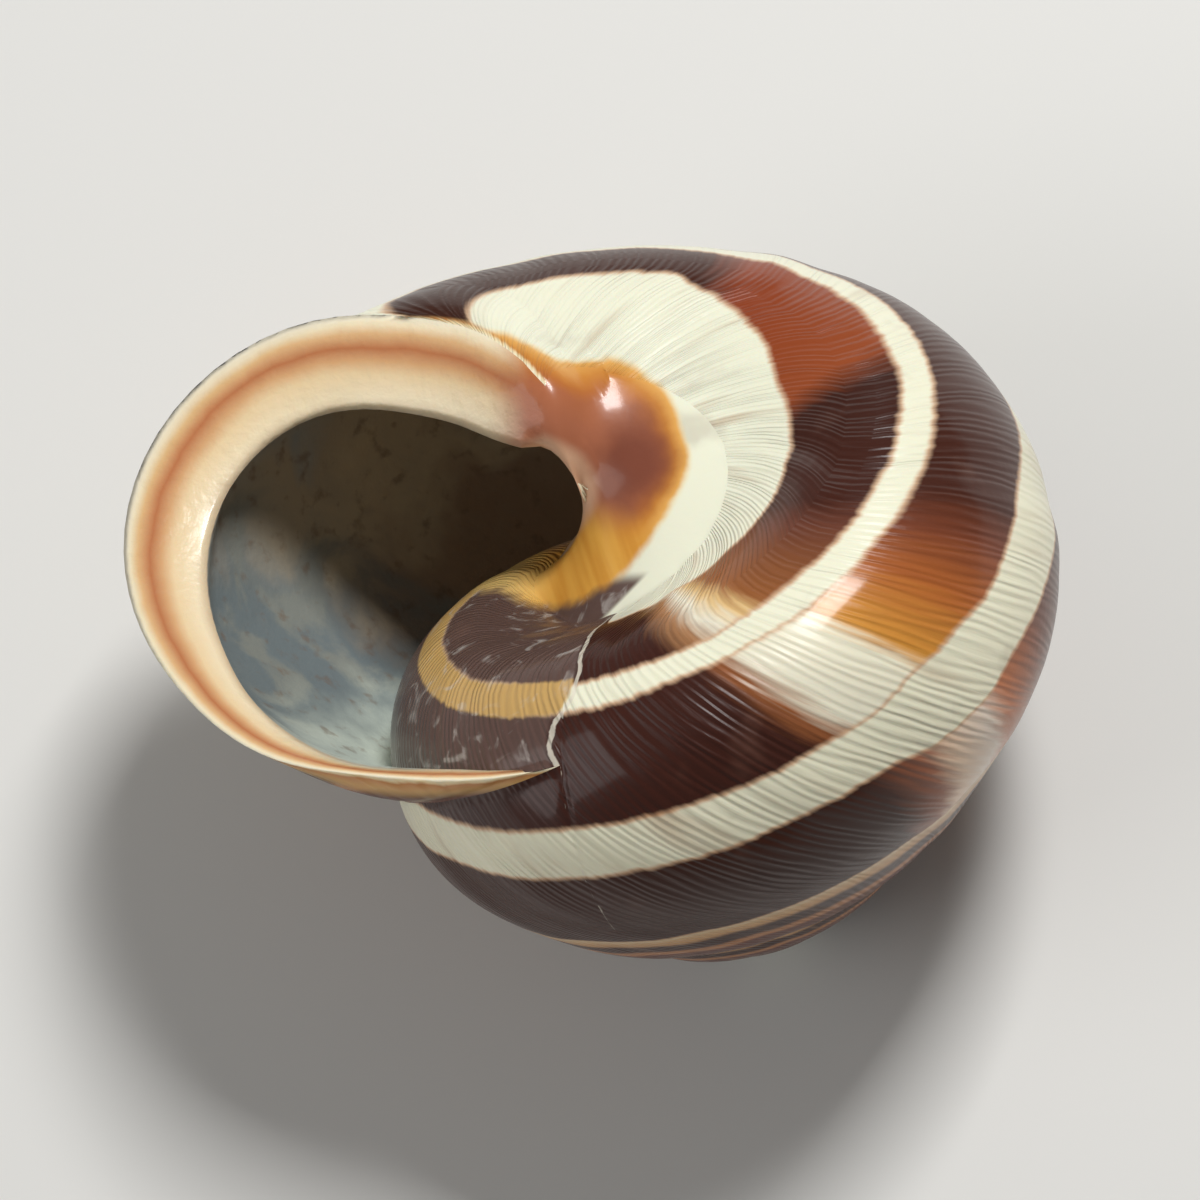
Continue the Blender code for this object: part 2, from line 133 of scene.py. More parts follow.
# How finely the shell is divided
GROWTH_STEP = radians(0.9)
INNER_STEP = radians(2.5)
SECTION_STEP = radians(3.4)
SPIRE_STEP = radians(4)
SEAM_STEP = radians(5)
SEAM_END = radians(30)  # growth angle past which the seam isn't followed
SEAM_HALVINGS = 30  # of the growth angles between which the seam meets a depth
SEAM_NUDGE = 1e-6  # the small step by which slopes are measured
SEAM_PASSES = 8
SEAM_GUESS = ((-88.0,), (-32.0,))  # its section angles in degrees at the first step
CROSSING_START = radians(-200)  # from here on the tube is searched for the mouth's plane
CROSSING_MARGIN = radians(20)  # and up to this far past the insertion
CROSSING_STEPS = 1600
AHEAD_STEP = 0.01  # growth over which the tube's way is measured
AHEAD_RISE = 0.3  # that way is taken to rise by at least this share of its length
MERGE = 1e-6  # points nearer than this become one, in metres

# Where it lies: the apex of the spiral, and the turn from the shell's own frame
APEX = (0.00493822, -0.00999604, -0.0000017)
REST_DOWN = (0.0478, 0.6311, 0.7742)
REST_RIGHT = (-0.962, -0.040, 0.272)

# Growth ribs and longer swells, as sine waves along the tube: height, waves per radian, start. A rib isn't
# straight: at each of these section angles it lies so many degrees ahead
RIB_ANGLES = (-90, -30, 13, 70, 78, 84, 100, 119, 150)
RIB_SWEEP = (62, 42, 22, -4, -6, -5, 10, 30, 60)
RIB_WAVES = ((0.0035, 17.3, 0.4), (0.0030, 12.1, 2.0), (0.0022, 26.5, 1.1))
RIB_BEAT = (0.6, 0.4, 5.3, 1)  # the ribs' height rises and falls: mean, change, waves per radian, start
RIB_FADE_ANGLES = (-90, -60, 0, 60, 100, 125, 150)
RIB_FADE = (0.3, 0.7, 1.0, 1.0, 1.2, 0.5, 0.1)
SWELL_WAVES = ((0.004, 2.3, 0.7), (0.003, 5.1, 2.9))
RELIEF_SINK = 0.008  # sinks it all, so that the ribs' tops stay near the solid's surface

# The lines along which the markings change: their growth angle, from where it is at section angle 60
STREAK_ANGLES = (-30, -17, 8, 18, 32, 35, 40, 50, 60, 72, 80, 100, 115, 150)
STREAK_SWEEP = (27, 26.5, 23, 20, 11, 9.5, 7.6, 4, 0, -4, -7, -10, -10, -8)

# The edges of the three dark bands: growth angles, then section angles there
BAND_EDGES = {
    "outer_low": ((-400, 0), (-33, -33)),
    "outer_high": ((-400, -236, -228, -215, -209, -150), (12.5, 12.5, 8, 8, 12, 12)),
    "middle_low": (
        (-400, -236, -228, -215, -209, -190, -180, -150),
        (30.5, 30.5, 33, 33, 32, 36.5, 36.5, 34),
    ),
    "middle_high": ((-310, -290, -150), (64, 62.5, 62.5)),
    "inner_low": ((-310, -290, -150), (73.5, 71.5, 71.5)),
    "inner_high": (
        (-292, -286, -245, -212, -160, -140, -115, -110, -45),
        (118, 100, 100, 98, 98, 93, 87, 84, 88),
    ),
}

# Where the lip runs into the pad, points this near are evened out
CREASE_REACH = 0.0012
CREASE_PASSES = 24

# The places across the lip that mark the spire and the pad, and how far the markings run on over its back
SPIRE = -1.0
PAD = -2.0
LIP_GROWTH = radians(8)
NO_GLAZE = -9  # glaze runs from 0 up, so the spire has none

# Where the glaze inside the mouth ends: section angles, then growth angles there
GLAZE_ANGLES = (-40, 48.9, 54, 61, 66, 75, 88, 104, 112)
GLAZE_GROWTHS = (-291, -291, -292.5, -291.6, -288, -287.5, -289.3, -290, -292)

# The callus over the axis, seen in the plane that faces the mouth side: its middle, and its border as
# bearings and distances
CALLUS_CENTRE = (-0.72, 1.93)
CALLUS_BORDER = (
    (-180, 1.3), (-145, 0.75), (-131, 0.615), (-122, 0.6), (-114, 0.58), (-102, 0.545), (-91, 0.49),
    (-78, 0.44), (-66, 0.38), (-52, 0.34), (-32, 0.324), (-13, 0.33), (20, 0.334), (37, 0.346), (52, 0.362),
    (66, 0.382), (79, 0.4), (88, 0.4), (96, 0.385), (104, 0.385), (112, 0.41), (121, 0.52), (128, 0.63),
    (137, 0.79), (150, 1.1), (180, 1.3),
)

# The pale brink beside the callus, as a circle in the same plane: how far left and down, and its radius
BRINK = (0.206, 0.103, 0.149)

# The camera, in the shell's own frame: its axes, its distance from the apex and where it aims, as slopes
VIEW_RIGHT = (-0.962, -0.040, 0.272)
VIEW_UP = (-0.248, 0.550, -0.798)
VIEW_BACK = (-0.118, -0.834, -0.539)
VIEW_DISTANCE = 33.33
VIEW_AIM = (-0.022343, 0.043466)
VIEW_LENS = 256
VIEW_SENSOR = 36
VIEW_CLIPS = (0.01, 10)

# The sheen of every material
SPECULAR = 0.2
COAT_ROUGHNESS = 0.12
SCATTER_RADIUS = (1.0, 0.6, 0.35)  # how far red, green and blue go under the surface, as shares of the next
SCATTER_SCALE = 0.0006

# The stage: lights as name, place, size and power
FLOOR_SIZE = 2
FLOOR_ROUGHNESS = 0.6
FLOOR_COLOUR = (225, 224, 220)
WORLD_STRENGTH = 0.15
LIGHT_AIM = (0, 0, 0.008)
LIGHTS = (
    ("key", (0.10, 0.16, 0.30), 0.09, 1.05),
    ("fill", (-0.30, -0.10, 0.20), 0.25, 0.4),
)

TURN = 2 * pi
RATE = log(WHORL_GROWTH) / TURN


def section(angle, inset=0.0):
    """The tube's outline in the half-plane through the axis: distance from it, and depth below the apex."""
    angle = np.asarray(angle, float)
    radius = np.ones_like(angle)
    slope = np.zeros_like(angle)
    for order, (cosine, sine) in enumerate(zip(SECTION_COSINES, SECTION_SINES), start=1):
        radius += cosine * np.cos(order * angle) + sine * np.sin(order * angle)
        slope += order * (sine * np.cos(order * angle) - cosine * np.sin(order * angle))
    out = SECTION_CENTRE[0] + radius * np.cos(angle)
    down = SECTION_CENTRE[1] + radius * np.sin(angle)
    along_out = slope * np.cos(angle) - radius * np.sin(angle)
    along_down = slope * np.sin(angle) + radius * np.cos(angle)
    length = np.hypot(along_out, along_down)
    down = down + BASE_FILL * (np.maximum(angle - BASE_FILL_START, 0) / BASE_FILL_RUN) ** 2
    return out - inset * along_down / length, down + inset * along_out / length


def sink(growth):
    """How far the tube lies below a true spiral cone: at the blunt apex, and in the last half turn."""
    growth = np.asarray(growth, float)
    dome = DOME * np.exp(-((np.exp(RATE * growth) / DOME_SPREAD) ** 2))
    past = np.maximum(growth - SINK_START, 0)
    bend = SINK_STEADY - SINK_START
    return dome + SINK_SLOPE * np.where(past < bend, past**2 / (2 * bend), past - bend / 2)


def half_plane(growth, angle, inset=0.0):
    """Distance from the axis and depth below the apex of a point of the tube."""
    size = np.exp(RATE * np.asarray(growth, float))
    out, down = section(angle, inset)
    return size * out, size * down + sink(growth)


def place(growth, out, down):
    return np.stack([out * np.cos(growth), -out * np.sin(growth), -down], axis=-1)


def tube(growth, angle, inset=0.0):
    """Points of the tube's outer face, or of its inner face with an inset."""
    growth, angle = np.broadcast_arrays(np.asarray(growth, float), np.asarray(angle, float))
    return place(growth, *half_plane(growth, angle, inset))


def outside(growth, angle):
    """Points of the tube's outer face, with its ribs."""
    growth, angle = np.broadcast_arrays(np.asarray(growth, float), np.asarray(angle, float))
    return place(growth, *half_plane(growth, angle, -relief(growth, angle)))


def rib_line(growth, angle):
    """The growth angle that the rib through this point has where the section angle is 60 degrees."""
    return growth - radians(1) * np.interp(np.degrees(angle), RIB_ANGLES, RIB_SWEEP)


def relief(growth, angle):
    """Height of the growth ribs and of the longer swells between rests in growth."""
    line = rib_line(growth, angle)
    ribs = sum(height * np.sin(line * count + turn) for height, count, turn in RIB_WAVES)
    swells = sum(height * np.sin(line * count + turn) for height, count, turn in SWELL_WAVES)
    degrees = np.degrees(angle)
    raised = np.interp(degrees, RIB_FADE_ANGLES, RIB_FADE)
    mean, change, count, turn = RIB_BEAT
    return raised * ribs * (mean + change * np.sin(line * count + turn)) + swells - RELIEF_SINK


@functools.cache
def seam_chain(inset):
    """The seam's section angles at even steps along the whole tube, each found from the one before."""
    steps = np.arange(-(TURNS_ABOVE + 1) * TURN, SEAM_END, SEAM_STEP)
    angles = np.radians(SEAM_GUESS)
    found = []
    for growth in steps:
        angles = refined(growth, angles, inset)
        found.append(angles[:, 0])
    return steps, np.transpose(found)


def seams(growths, inset=0.0):
    """Section angles where the tube meets the whorl before it: on the tube, and on that whorl."""
    growths = np.asarray(growths, float)
    steps, found = seam_chain(inset)
    angles = np.array([np.interp(growths, steps, row) for row in found])
    return refined(growths, angles, inset).T


def refined(growth, angles, inset):
    """The seam's section angles, found from near ones by following the slopes."""
    nudge = SEAM_NUDGE
    for _ in range(SEAM_PASSES):
        new = np.array(half_plane(growth, angles[0], inset))
        old = np.array(half_plane(growth - TURN, angles[1]))
        gap = new - old
        new_slope = (np.array(half_plane(growth, angles[0] + nudge, inset)) - new) / nudge
        old_slope = (old - np.array(half_plane(growth - TURN, angles[1] + nudge))) / nudge
        area = new_slope[0] * old_slope[1] - new_slope[1] * old_slope[0]
        steps = gap[1] * old_slope[0] - gap[0] * old_slope[1], gap[0] * new_slope[1] - gap[1] * new_slope[0]
        angles = angles + np.array(steps) / area
    return angles


def spline(knots, values, at):
    """A natural cubic spline through a few given values."""
    knots, values = np.asarray(knots, float), np.asarray(values, float)
    order = np.argsort(knots)
    knots, values = knots[order], values[order]
    gaps = np.diff(knots)
    count = len(knots)
    system = np.eye(count)
    right = np.zeros(count)
    for i in range(1, count - 1):
        system[i, i - 1 : i + 2] = gaps[i - 1], 2 * (gaps[i - 1] + gaps[i]), gaps[i]
        right[i] = 3 * ((values[i + 1] - values[i]) / gaps[i] - (values[i] - values[i - 1]) / gaps[i - 1])
    bend = np.linalg.solve(system, right)
    at = np.asarray(at, float)
    i = np.clip(np.searchsorted(knots, at) - 1, 0, count - 2)
    x = at - knots[i]
    slope = (values[i + 1] - values[i]) / gaps[i] - gaps[i] * (2 * bend[i] + bend[i + 1]) / 3
    return values[i] + slope * x + bend[i] * x**2 + (bend[i + 1] - bend[i]) / (3 * gaps[i]) * x**3


class Mouth:
    """The slanting plane of the mouth, with positions in it as sideways, towards the base and height."""

    def __init__(self):
        self.origin = tube(*INSERTION)
        self.normal = np.array(MOUTH_NORMAL) / np.linalg.norm(MOUTH_NORMAL)
        base_way = np.array([0, 0, -1.0])
        base_way -= base_way @ self.normal * self.normal
        self.base_way = base_way / np.linalg.norm(base_way)
        self.side_way = np.cross(self.base_way, self.normal)

    def height(self, points):
        return (points - self.origin) @ self.normal

    def polar(self, points):
        """Angle in degrees and distance from the mouth's centre, in the plane."""
        side = (points - self.origin) @ self.side_way - MOUTH_CENTRE[0]
        base = (points - self.origin) @ self.base_way - MOUTH_CENTRE[1]
        angle = np.degrees(np.arctan2(base, side))
        return np.where(angle > MOUTH_CUT, angle - 360, angle), np.hypot(side, base)

    def point(self, angle, distance, height):
        angle = np.radians(angle)[..., None]
        distance = np.asarray(distance)[..., None]
        side = MOUTH_CENTRE[0] + distance * np.cos(angle)
        base = MOUTH_CENTRE[1] + distance * np.sin(angle)
        rise = np.asarray(height)[..., None] * self.normal
        return self.origin + side * self.side_way + base * self.base_way + rise


MOUTH = Mouth()


def seam_at_depth(depth, inset):
    """Growth angle where the seam comes within this depth of the mouth's plane."""
    low, high = radians(-20), INSERTION[0] + TURN
    for _ in range(SEAM_HALVINGS):
        middle = (low + high) / 2
        new, _ = seams([middle], inset)[0]
        if MOUTH.height(tube(middle, new, inset)) < -depth:
            low = middle
        else:
            high = middle
    return (low + high) / 2


def crossing(angles, depth, inset):
    """For each section angle, the growth angle where the tube comes within a depth of the mouth's plane."""
    depths = np.linspace(depth, depth * DEPTH_BY_AXIS, len(angles))
    growths = np.linspace(CROSSING_START, INSERTION[0] + TURN + CROSSING_MARGIN, CROSSING_STEPS)
    heights = MOUTH.height(tube(growths[:, None], np.asarray(angles)[None, :], inset)) + depths
    found = []
    for column in heights.T:
        last = np.nonzero((column[:-1] < 0) & (column[1:] >= 0))[0][0]
        part = column[last] / (column[last] - column[last + 1])
        found.append(growths[last] + part * (growths[last + 1] - growths[last]))
    return np.array(found)


def ahead(growths, angles):
    """The way the tube grows, scaled to come nearer to the mouth's plane by one radius."""
    way = tube(growths + AHEAD_STEP, angles) - tube(growths, angles)
    rise = np.maximum(way @ MOUTH.normal, AHEAD_RISE * np.linalg.norm(way, axis=1))
    return way / rise[:, None]


def slant_ramp(growth, end):
    """0 where the growth lines are straight, a turn behind the mouth, and 1 at the mouth."""
    return eased((growth - INSERTION[0]) / (end - INSERTION[0]))


def eased(part):
    part = np.clip(part, 0, 1)
    return part * part * (3 - 2 * part)


class Surface:
    """Points and triangles, made from columns of points that are joined side by side."""

    def __init__(self):
        self.points = []
        self.faces = []
        self.count = 0

    def column(self, points):
        points = np.atleast_2d(points)
        self.points.append(points)
        self.count += len(points)
        return np.arange(self.count - len(points), self.count)

    def zip(self, left, right):
        """Triangles between two columns, which may have different numbers of points."""
        i = j = 0
        while i < len(left) - 1 or j < len(right) - 1:
            next_left = (i + 1) / (len(left) - 1) if i < len(left) - 1 else 2
            next_right = (j + 1) / (len(right) - 1) if j < len(right) - 1 else 2
            if next_left <= next_right:
                self.faces.append((left[i], right[j], left[i + 1]))
                i += 1
            else:
                self.faces.append((left[i], right[j], right[j + 1]))
                j += 1

    def sheet(self, columns):
        made = [self.column(points) for points in columns]
        for left, right in zip(made, made[1:]):
            self.zip(left, right)

    def membrane(self, loop, rings=1, swell=0.0):
        """Fills a closed loop of points with rings round a middle point, as smooth as a soap film."""
        loop = np.array(loop)
        steps = np.linalg.norm(np.roll(loop, -1, axis=0) - loop, axis=1)
        bearings = TURN * np.concatenate([[0], np.cumsum(steps)]) / steps.sum()
        even = np.linspace(0, TURN, FILM_SAMPLES, endpoint=False)
        samples = [np.interp(even, bearings, np.append(part, part[0])) for part in loop.T]
        waves = np.fft.rfft(samples).T[:-1] / FILM_SAMPLES
        orders = np.arange(len(waves))
        turns = np.exp(1j * np.outer(bearings[:-1], orders)) * np.where(orders, 2, 1)
        made = [self.column(loop)]
        for ring in range(1, rings + 1):
            part = ring / (rings + 1)
            skin = (turns @ (waves * (1 - part) ** orders[:, None])).real
            made.append(self.column(skin + swell * np.sin(part * pi / 2) ** 2 * MOUTH.normal))
        centre = self.column(waves[0].real + swell * MOUTH.normal)
        for outer, inner in zip(made, made[1:]):
            self.zip(np.append(outer, outer[0]), np.append(inner, inner[0]))
        for a, b in zip(made[-1], np.roll(made[-1], -1)):
            self.faces.append((a, b, centre[0]))


def spread(low, high, step):
    return np.linspace(low, high, 1 + max(2, ceil((high - low) / step)))


def lip(neck, forward, throat, outer_seam, inner_seam):
    """Columns of the lip: its back up to the rim, the rim's edge, and its face down to the throat."""
    angles, _ = MOUTH.polar(neck)
    along = (angles - angles[0]) / (angles[-1] - angles[0])
    rim_angles = RIM_ANGLES[0] + along * (RIM_ANGLES[-1] - RIM_ANGLES[0])
    rim = MOUTH.point(rim_angles, spline(RIM_ANGLES, RIM_RADII, rim_angles), np.zeros(len(neck)))
    edge_radii = spline(EDGE_ANGLES, EDGE_RADII, rim_angles)
    edge = MOUTH.point(rim_angles, edge_radii, np.full(len(neck), -EDGE_DEPTH))
    backs = [curve(neck, neck + forward, rim, part) for part in spread(0, 1, 1 / LIP_STEPS)[1:-1]]
    facing = rim + (edge - rim) * 0.5 + MOUTH.normal * FACE_RISE
    fronts = [curve(rim, facing, edge, part) for part in spread(0, 1, 1 / LIP_STEPS)[1:]]
    fronts += [edge + (throat - edge) * part for part in spread(0, 1, 1 / 2)[1:-1]]
    fade_into_pad([neck] + backs + [rim] + fronts[:LIP_STEPS], along)
    rim[0] = outside(*INSERTION)
    back_seams = [blend_pair(outer_seam, INSERTION, part) for part in np.linspace(0, 1, len(backs) + 2)[1:-1]]
    parts = np.linspace(0, 1, len(fronts) + 2)[1:-1]
    front_seams = [blend_pair(INSERTION, inner_seam, part) for part in parts]
    for column, seam in zip(backs + fronts, back_seams + front_seams):
        column[0] = outside(*seam)
    return backs, rim, fronts, back_seams, front_seams


def fade_into_pad(columns, along):
    """Near the axis the lip sinks into a low ridge, from the neck to the throat, that the pad joins."""
    low, high = columns[0][-1], columns[-1][-1].copy()
    top = low + (high - low) * RIDGE_PLACE + RIDGE_RISE * MOUTH.normal
    weight = eased((along - FADE_START) / (1 - FADE_START))[:, None]
    for order, column in enumerate(columns[1:-1], start=1):
        ridge = curve(low, top, high, order / (len(columns) - 1))
        column += weight * (ridge - column[-1])


def blend_pair(start, end, part):
    return start[0] + (end[0] - start[0]) * part, start[1] + (end[1] - start[1]) * part


def curve(start, middle, end, part):
    return start * (1 - part) ** 2 + middle * 2 * part * (1 - part) + end * part**2


def dip_behind(part):
    """How much deeper the hollow's walls lie, from 0 at the brink to 1 where the dip ends."""
    part = np.clip(part, 0, 1)
    return HOLLOW_DIP * np.sqrt(part) * (1 - part) ** 2


def around_axis(start, end, parts):
    """Points from start to end that keep to a curved wall round the axis."""
    first = atan2(-start[1], start[0])
    last = atan2(-end[1], end[0])
    while last - first > pi:
        last -= TURN
    while last - first < -pi:
        last += TURN
    radii = np.hypot(*start[:2]), np.hypot(*end[:2])
    angle = first + (last - first) * parts
    bulge = 1 + AXIS_BULGE * np.sin(pi * parts) * abs(last - first)
    radius = radii[0] + (radii[1] - radii[0]) * parts
    return place(angle, radius * bulge, -(start[2] + (end[2] - start[2]) * parts))


class Skin(Surface):
    """A surface whose points carry the markings' coordinates, and whose faces carry a material's number."""

    def __init__(self):
        super().__init__()
        self.places = []
        self.slots = []

    def painted(self, slot, columns, places):
        """A sheet of columns, with the growth angle, section angle and place across the lip of each point."""
        for points, place_of in zip(columns, places):
            tags = np.stack(np.broadcast_arrays(*place_of, points[:, 0])[:3], axis=-1)
            self.places.append(tags)
        self.sheet(columns)
        self.slots += [slot] * (len(self.faces) - len(self.slots))

    def skinned(self, slot, loop, rings=1, swell=0.0):
        made = len(self.points)
        self.membrane(loop, rings, swell)
        for points in self.points[made:]:
            self.places.append(np.tile((0.0, PAD_EDGE, PAD), (len(points), 1)))
        self.slots += [slot] * (len(self.faces) - len(self.slots))


def shell_surface():
    """The whole shell as one closed skin, and the line where the lip runs into the pad."""
    shell = Skin()
    neck_end = seam_at_depth(NECK_DEPTH, 0.0)
    throat_end = seam_at_depth(THROAT_DEPTH, WALL)
    first = INSERTION[0]
    body = spread(first, neck_end, GROWTH_STEP)
    inner_body = spread(first, throat_end, INNER_STEP)
    body_seams = seams(body)
    inner_seams = seams(inner_body, WALL)

    # The neck and the throat, where the tube ends and the lip starts
    low = body_seams[-1][0]
    neck_angles = spread(low, PAD_EDGE, SECTION_STEP)
    neck_growths = crossing(neck_angles, NECK_DEPTH, 0.0)
    neck_growths[0] = neck_end
    quotient = (neck_angles - low) / (PAD_EDGE - low)
    neck = outside(neck_growths, neck_angles)
    forward = NECK_DEPTH / 2 * ahead(neck_growths, neck_angles)
    inner_low = inner_seams[-1][0]
    throat_angles = np.linspace(inner_low, HOLLOW_EDGE, len(neck_angles))
    throat_growths = crossing(throat_angles, THROAT_DEPTH, WALL)
    throat_growths[0] = throat_end
    throat = tube(throat_growths, throat_angles, WALL)
    by_axis = eased((quotient - FADE_START) / (1 - FADE_START))[:, None]
    pull = by_axis * (MOUTH.point(*np.array(COLUMELLA_TOP)[:, None])[0] - throat[-1])
    throat = throat + pull

    outer_seam = (neck_end - TURN, body_seams[-1][1])
    inner_seam = (throat_end - TURN, inner_seams[-1][1])
    backs, rim, fronts, back_seams, front_seams = lip(neck, forward, throat, outer_seam, inner_seam)

    # The edge of the last whorl on the whorl before it: growth angles there, and section angles
    edge = [(growth - TURN, old) for growth, (_, old) in zip(body[1:], body_seams[1:])]
    edge += back_seams + [INSERTION]
    turn_growths = np.array([growth for growth, _ in edge])
    turn_highs = np.array([angle for _, angle in edge])

    # Whorls above the last one
    growths = np.concatenate([turn_growths - turn * TURN for turn in range(TURNS_ABOVE - 1, -1, -1)])
    highs = np.concatenate([seams(growths[: -len(edge)] + TURN)[:, 1], turn_highs])
    lows, befores = seams(growths).T
    rows = [spread(*ends, SPIRE_STEP) for ends in zip(lows, highs)]
    spire = [outside(growth, angles) for growth, angles in zip(growths, rows)]
    for column, growth, before in zip(spire, growths, befores):
        column[0] = outside(growth - TURN, before)
    shell.painted(0, spire, zip(growths, rows, [SPIRE] * len(rows)))

    # The wall inside the mouth that is the outside of the whorl before
    inner_growths = list(spread(HOLLOW_START, first, INNER_STEP)[:-1]) + list(inner_body)
    inner_pairs = seams(inner_growths, WALL)
    parietal = [(growth - TURN, old) for growth, (_, old) in zip(inner_growths, inner_pairs)]
    parietal += front_seams[::-1] + [INSERTION]
    tops = np.radians(np.interp(np.degrees([growth for growth, _ in parietal]), *WHORL_EDGES))
    rows = [spread(low_angle, top, SECTION_STEP) for (_, low_angle), top in zip(parietal, tops)]
    parietal_columns = [outside(growth, angles) for (growth, _), angles in zip(parietal, rows)]
    shell.painted(0, parietal_columns, [(growth, angles, 0.0) for (growth, _), angles in zip(parietal, rows)])

    # The last whorl's outside
    columns = [np.concatenate([spire[-1], parietal_columns[-1][1:]])]
    places = [(first, np.concatenate([spread(lows[-1], highs[-1], SPIRE_STEP), rows[-1][1:]]), 0.0)]
    for growth, (new, old) in zip(body[1:-1], body_seams[1:-1]):
        high = rows[-1][-1] + (PAD_EDGE - rows[-1][-1]) * eased((growth - first) / PAD_RUN)
        angles = new + (high - new) * quotient
        slant = slant_ramp(growth, neck_end) * (neck_growths - neck_end)
        columns.append(outside(growth + slant, angles))
        columns[-1][0] = outside(growth - TURN, old)
        places.append((growth + slant, angles, 0.0))
    neck[0] = outside(neck_end - TURN, body_seams[-1][1])
    columns.append(neck)
    places.append((neck_growths, neck_angles, 0.0))
    shell.painted(0, columns, places)

    # The lip's back and its face
    across = np.linspace(0, 1, len(backs) + 2)
    ends = [neck] + backs + [rim]
    shell.painted(0, ends, [(neck_growths + part * LIP_GROWTH, neck_angles, part) for part in across])
    face = [rim] + fronts[:LIP_STEPS]
    across = np.linspace(1, 2, len(face))
    shell.painted(1, face, [(neck_growths, neck_angles, part) for part in across])
    step_in = [face[-1]] + fronts[LIP_STEPS:] + [throat]
    across = np.linspace(2, 3, len(step_in))
    shell.painted(2, step_in, [(neck_growths, neck_angles, part) for part in across])

    # The hollow's outer wall
    inner_columns = []
    places = []
    part_way = np.linspace(0, 1, len(throat_angles))
    for growth, (new, old) in zip(inner_growths[:-1], inner_pairs[:-1]):
        angles = new + (HOLLOW_EDGE - new) * part_way
        slant = slant_ramp(growth, throat_end) * (throat_growths - throat_end)
        near = eased(1 - (throat_end - growth) / COLUMELLA_RUN)
        dip = dip_behind((throat_end - growth) / COLUMELLA_RUN) * by_axis * MOUTH.normal
        inner_columns.append(tube(growth + slant, angles, WALL) + near * pull - dip)
        inner_columns[-1][0] = outside(growth - TURN, old)
        places.append((growth + slant, angles, 3.0))
    throat[0] = outside(throat_end - TURN, inner_seams[-1][1])
    inner_columns.append(throat)
    places.append((throat_growths, throat_angles, 3.0))
    shell.painted(2, inner_columns, places)

    # The wall round the axis, inside the hollow, which ends at the brink
    parts = np.linspace(0, 1, AXIS_ROWS)
    stop = int(np.argmin([abs(growth - BRINK_GROWTH) for growth, _ in parietal]))
    brink_middle = np.array(BRINK_MIDDLE) @ np.array([VIEW_RIGHT, VIEW_UP, VIEW_BACK])
    axis_columns = []
    for order, (growth, column) in enumerate(zip(inner_growths, inner_columns)):
        start, end = column[-1], parietal_columns[min(order, stop)][-1]
        brink = curve(start, brink_middle, end, parts[:, None])
        wall = around_axis(start, end, parts)
        near = max(0, 1 - (throat_end - growth) / BRINK_RUN) ** 2
        dip = dip_behind((throat_end - growth) / BRINK_RUN) * np.sin(pi * parts[:, None]) * MOUTH.normal
        axis_columns.append(wall + near * (brink - wall) - dip)
    places = [(growth, HOLLOW_EDGE, 3.0) for growth in inner_growths]
    shell.painted(2, axis_columns[: 1 - BRINK_COLUMNS], places[: 1 - BRINK_COLUMNS])
    shell.painted(0, axis_columns[-BRINK_COLUMNS:], places[-BRINK_COLUMNS:])

    # The pad over the axis, the hollow's end and the apex
    crease = [column[-1] for column in backs + [rim] + fronts]
    pad = [column[-1] for column in columns] + crease
    pad += list(axis_columns[-1]) + [column[-1] for column in parietal_columns[stop + 1 : -1]]
    shell.skinned(0, pad, PAD_RINGS, PAD_SWELL)
    end = [inner_columns[0], np.concatenate([parietal_columns[0], axis_columns[0][-2::-1]])]
    shell.painted(2, end, [(HOLLOW_START, HOLLOW_EDGE, 3.0)] * 2)
    count = len(turn_growths)
    apex = [column[0] for column in spire[: count + 1]] + list(spire[0][::-1][1:-1])
    shell.skinned(0, apex)
    return shell, np.array(crease)


def resting():
    """Turns the shell to lie mouth up, with REST_DOWN facing the floor."""
    up = -np.array(REST_DOWN) / np.linalg.norm(REST_DOWN)
    right = np.array(REST_RIGHT) - np.array(REST_RIGHT) @ up * up
    right /= np.linalg.norm(right)
    return np.array([right, np.cross(up, right), up])


def markings(points, places):
    """The vectors that the materials read at each point, by name."""
    growth, angle = np.degrees(places[:, :2]).T
    edges = {name: np.interp(growth, *table) for name, table in BAND_EDGES.items()}
    streak = growth - np.interp(angle, STREAK_ANGLES, STREAK_SWEEP)
    rib = growth - np.interp(angle, RIB_ANGLES, RIB_SWEEP)
    glaze = np.where(places[:, 2] == SPIRE, NO_GLAZE, np.interp(angle, GLAZE_ANGLES, GLAZE_GROWTHS) - growth)
    turn, _ = MOUTH.polar(points)
    side = points @ np.array(VIEW_RIGHT) - CALLUS_CENTRE[0]
    up = points @ np.array(VIEW_UP) - CALLUS_CENTRE[1]
    bearing = np.degrees(np.arctan2(up, side))
    reach = np.hypot(side, up) / np.interp(bearing, *zip(*CALLUS_BORDER))
    return {
        "place": (turn, angle, places[:, 2]),
        "lines": (streak, rib, glaze),
        "band_lows": (edges["outer_low"], edges["middle_low"], edges["inner_low"]),
        "band_highs": (edges["outer_high"], edges["middle_high"], edges["inner_high"]),
        "callus": (reach, side, up),
    }


